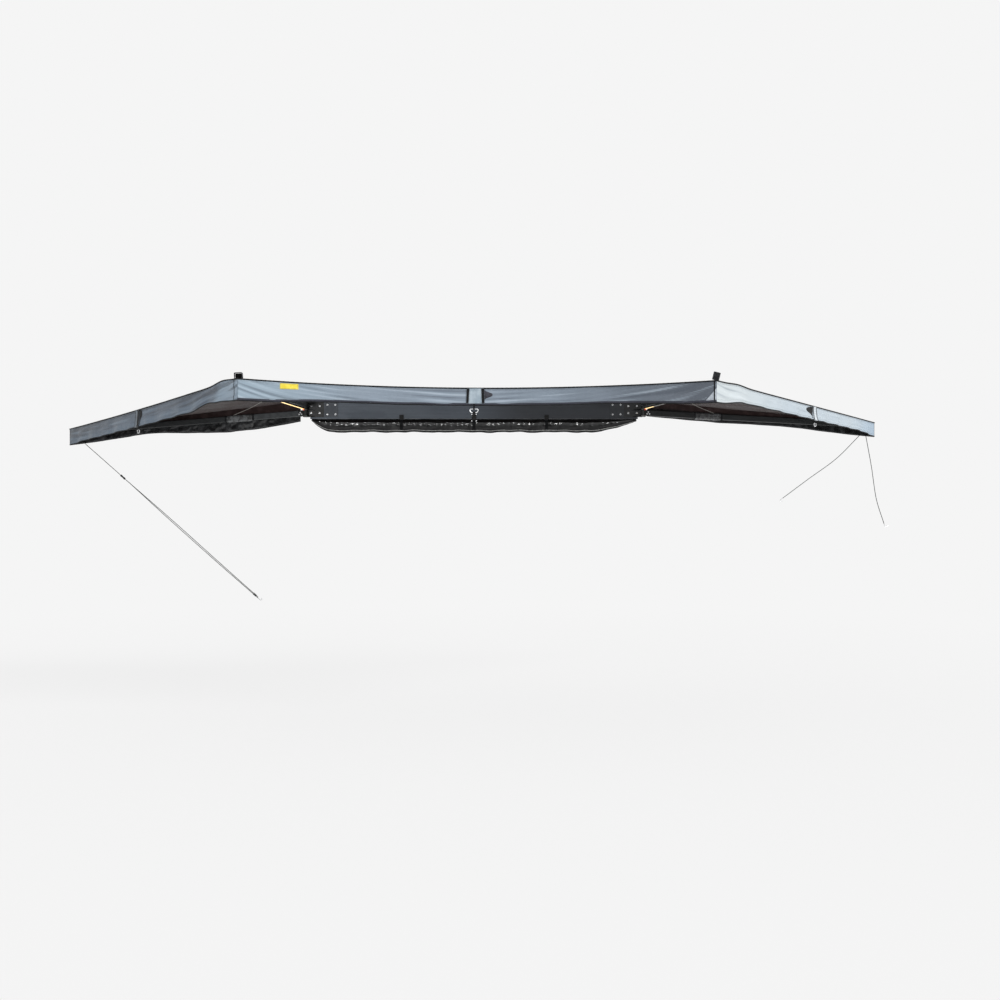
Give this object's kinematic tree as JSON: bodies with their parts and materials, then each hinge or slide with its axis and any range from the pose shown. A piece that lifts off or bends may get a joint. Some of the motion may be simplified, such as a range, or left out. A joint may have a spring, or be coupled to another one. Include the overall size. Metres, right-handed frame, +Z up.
{
  "type": "vehicle side awning",
  "caption": "Fold-out awning for the side of a vehicle roof, with a straight middle, fan-shaped ends on hinged arms, lamp strips, a cover bag and guy ropes.",
  "frame": {"origin": "centre of the underside of the centre mount bracket's foot, where it rests on a roof bar", "axes": "+Z up; +X along the back rail towards the vehicle's front; +Y towards the vehicle, so the canopy spreads towards -Y"},
  "size_m": [6.1289, 3.2089, 1.4528],
  "materials": {
    "rail": "dark grey anodised extrusion",
    "bracket": "black powder coat on steel",
    "steel": "bright stainless steel",
    "nylon": "natural white nylon",
    "arm": "dark grey-green coat on aluminium tube",
    "plastic": "black moulded nylon",
    "lens": "warm amber diffuser",
    "canopy": "blue-grey coated ripstop cloth, dark brown below",
    "webbing": "black woven webbing",
    "strap": "light grey cloth panel edged with black tape",
    "bag": "glossy black PVC-coated cloth",
    "rope": "dark braided cord",
    "cord": "light braided cord"
  },
  "bodies": {
    "rail": {"back_rail": "rail", "rear_end_bracket": "bracket", "front_end_bracket": "bracket", "rear_hinge_pin": "steel", "front_hinge_pin": "steel", "mount_bracket_rear": "bracket", "mount_bracket_centre": "bracket", "mount_bracket_front": "bracket", "rear_centre_canopy": "canopy", "front_centre_canopy": "canopy", "centre_strap": "strap", "centre_ring": "steel", "centre_hook": "plastic", "cover_bag": "bag", "bag_buckle_rear": "plastic", "bag_buckle_centre": "plastic", "bag_buckle_front": "plastic"},
    "rear_mid_arm": {"rear_mid_arm_tube": "arm", "rear_mid_knuckle": "plastic", "rear_mid_bush": "nylon", "rear_mid_end_cap": "plastic", "rear_lamp_channel": "plastic", "rear_lamp_lens": "lens", "rear_pull_loop": "webbing", "rear_inner_canopy": "canopy", "rear_strap": "strap", "rear_ring": "steel"},
    "rear_side_arm": {"rear_side_arm_tube": "arm", "rear_side_knuckle": "plastic", "rear_side_bush": "nylon", "rear_side_end_cap": "plastic", "rear_arm_wrap": "webbing", "rear_outer_canopy": "canopy", "rear_edge_flap": "canopy", "rear_spreader_cord": "cord", "rear_guy_rope": "rope", "rear_rope_runner": "plastic", "rear_guy_rope_hook": "steel"},
    "front_mid_arm": {"front_mid_arm_tube": "arm", "front_mid_knuckle": "plastic", "front_mid_bush": "nylon", "front_mid_end_cap": "plastic", "front_lamp_channel": "plastic", "front_lamp_lens": "lens", "front_pull_loop": "webbing", "front_inner_canopy": "canopy", "front_strap": "strap", "front_ring": "steel"},
    "front_side_arm": {"front_side_arm_tube": "arm", "front_side_knuckle": "plastic", "front_side_bush": "nylon", "front_side_end_cap": "plastic", "front_arm_wrap": "webbing", "front_outer_canopy": "canopy", "front_edge_flap": "canopy", "front_spreader_cord": "cord", "front_guy_rope_inner": "rope", "front_guy_rope_inner_hook": "steel", "front_guy_rope_outer": "rope", "front_guy_rope_outer_hook": "steel"}
  },
  "joints": [
    {"name": "rear_mid_hinge", "type": "hinge", "parent": "rail", "child": "rear_mid_arm", "pos_m": [-1.16, -0.1103, 0], "axis": [0, 0, 1], "range_deg": [0, 93.3], "deforming": ["rear_centre_canopy", "centre_strap", "centre_ring", "centre_hook"]},
    {"name": "rear_side_hinge", "type": "hinge", "parent": "rear_mid_arm", "child": "rear_side_arm", "pos_m": [-1.16, -0.1103, 0], "axis": [0, 0, 1], "range_deg": [0, 114.2], "deforming": ["rear_inner_canopy", "rear_outer_canopy", "rear_edge_flap", "rear_strap", "rear_ring", "rear_spreader_cord", "rear_guy_rope", "rear_rope_runner", "rear_guy_rope_hook"]},
    {"name": "front_mid_hinge", "type": "hinge", "parent": "rail", "child": "front_mid_arm", "pos_m": [1.16, -0.1503, 0], "axis": [0, 0, -1], "range_deg": [0, 94], "deforming": ["front_centre_canopy"]},
    {"name": "front_side_hinge", "type": "hinge", "parent": "front_mid_arm", "child": "front_side_arm", "pos_m": [1.16, -0.1503, 0], "axis": [0, 0, -1], "range_deg": [0, 115], "deforming": ["front_inner_canopy", "front_outer_canopy", "front_edge_flap", "front_strap", "front_ring", "front_spreader_cord", "front_guy_rope_inner", "front_guy_rope_inner_hook", "front_guy_rope_outer", "front_guy_rope_outer_hook"]}
  ]
}
